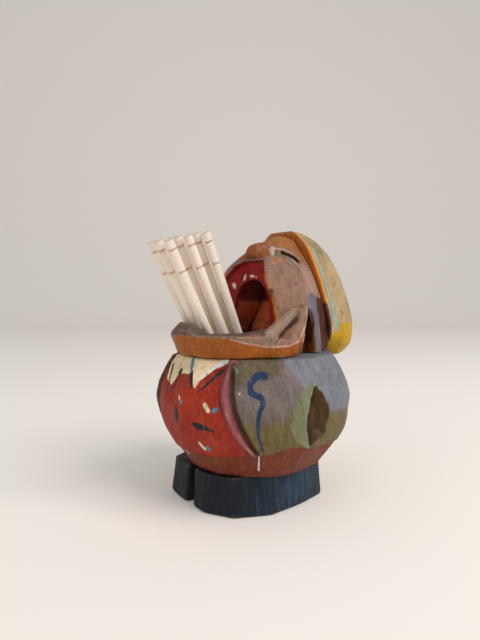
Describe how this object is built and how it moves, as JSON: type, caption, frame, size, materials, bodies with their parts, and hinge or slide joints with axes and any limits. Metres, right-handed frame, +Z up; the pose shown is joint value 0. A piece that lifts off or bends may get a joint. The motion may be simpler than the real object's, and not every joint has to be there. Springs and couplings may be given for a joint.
{
  "type": "toothpick dispenser",
  "caption": "Carved wooden figure with its head thrown back; toothpicks stand in a bore in the body and lean out of the open mouth over the lower jaw.",
  "frame": {"origin": "on the ground under the axis of the round body, in the middle of the boots block's flat underside", "axes": "+Z up, -Y the way the figure faces (its chin and the toothpicks point there), +X its left-hand side"},
  "size_m": [0.0494, 0.057, 0.0689],
  "materials": {
    "boots_paint": "matt navy paint over knife-cut wood",
    "torso_paint": "matt paints and stain over knife-cut wood",
    "head_paint": "matt flesh paint and orange brown stain over knife-cut wood",
    "hat_paint": "matt tan and yellow paint over knife-cut wood",
    "dowel_wood": "bare turned hardwood",
    "pick_wood": "bare turned birch"
  },
  "bodies": {
    "figure": {"boots_block": "boots_paint", "torso_block": "torso_paint", "head_block": "head_paint", "hat_block": "hat_paint", "hat_dowel": "dowel_wood", "neck_dowel_left": "dowel_wood", "neck_dowel_right": "dowel_wood", "boots_dowel_left": "dowel_wood", "boots_dowel_right": "dowel_wood"},
    "pick_1": {"toothpick_1": "pick_wood"},
    "pick_2": {"toothpick_2": "pick_wood"},
    "pick_3": {"toothpick_3": "pick_wood"},
    "pick_4": {"toothpick_4": "pick_wood"},
    "pick_5": {"toothpick_5": "pick_wood"},
    "pick_6": {"toothpick_6": "pick_wood"},
    "pick_7": {"toothpick_7": "pick_wood"},
    "pick_8": {"toothpick_8": "pick_wood"},
    "pick_9": {"toothpick_9": "pick_wood"}
  },
  "joints": [
    {"name": "pick_1_draw", "type": "slide", "parent": "figure", "child": "pick_1", "axis": [-0.0086, -0.4923, 0.8704], "range_m": [0, 0.045]},
    {"name": "pick_2_draw", "type": "slide", "parent": "figure", "child": "pick_2", "axis": [0, -0.4924, 0.8704], "range_m": [0, 0.045]},
    {"name": "pick_3_draw", "type": "slide", "parent": "figure", "child": "pick_3", "axis": [0.0086, -0.4923, 0.8704], "range_m": [0, 0.045]},
    {"name": "pick_4_draw", "type": "slide", "parent": "figure", "child": "pick_4", "axis": [-0.0079, -0.4524, 0.8918], "range_m": [0, 0.045]},
    {"name": "pick_5_draw", "type": "slide", "parent": "figure", "child": "pick_5", "axis": [0, -0.4524, 0.8918], "range_m": [0, 0.045]},
    {"name": "pick_6_draw", "type": "slide", "parent": "figure", "child": "pick_6", "axis": [0.0079, -0.4524, 0.8918], "range_m": [0, 0.045]},
    {"name": "pick_7_draw", "type": "slide", "parent": "figure", "child": "pick_7", "axis": [-0.0072, -0.4115, 0.9114], "range_m": [0, 0.045]},
    {"name": "pick_8_draw", "type": "slide", "parent": "figure", "child": "pick_8", "axis": [0, -0.4115, 0.9114], "range_m": [0, 0.045]},
    {"name": "pick_9_draw", "type": "slide", "parent": "figure", "child": "pick_9", "axis": [0.0072, -0.4115, 0.9114], "range_m": [0, 0.045]}
  ]
}
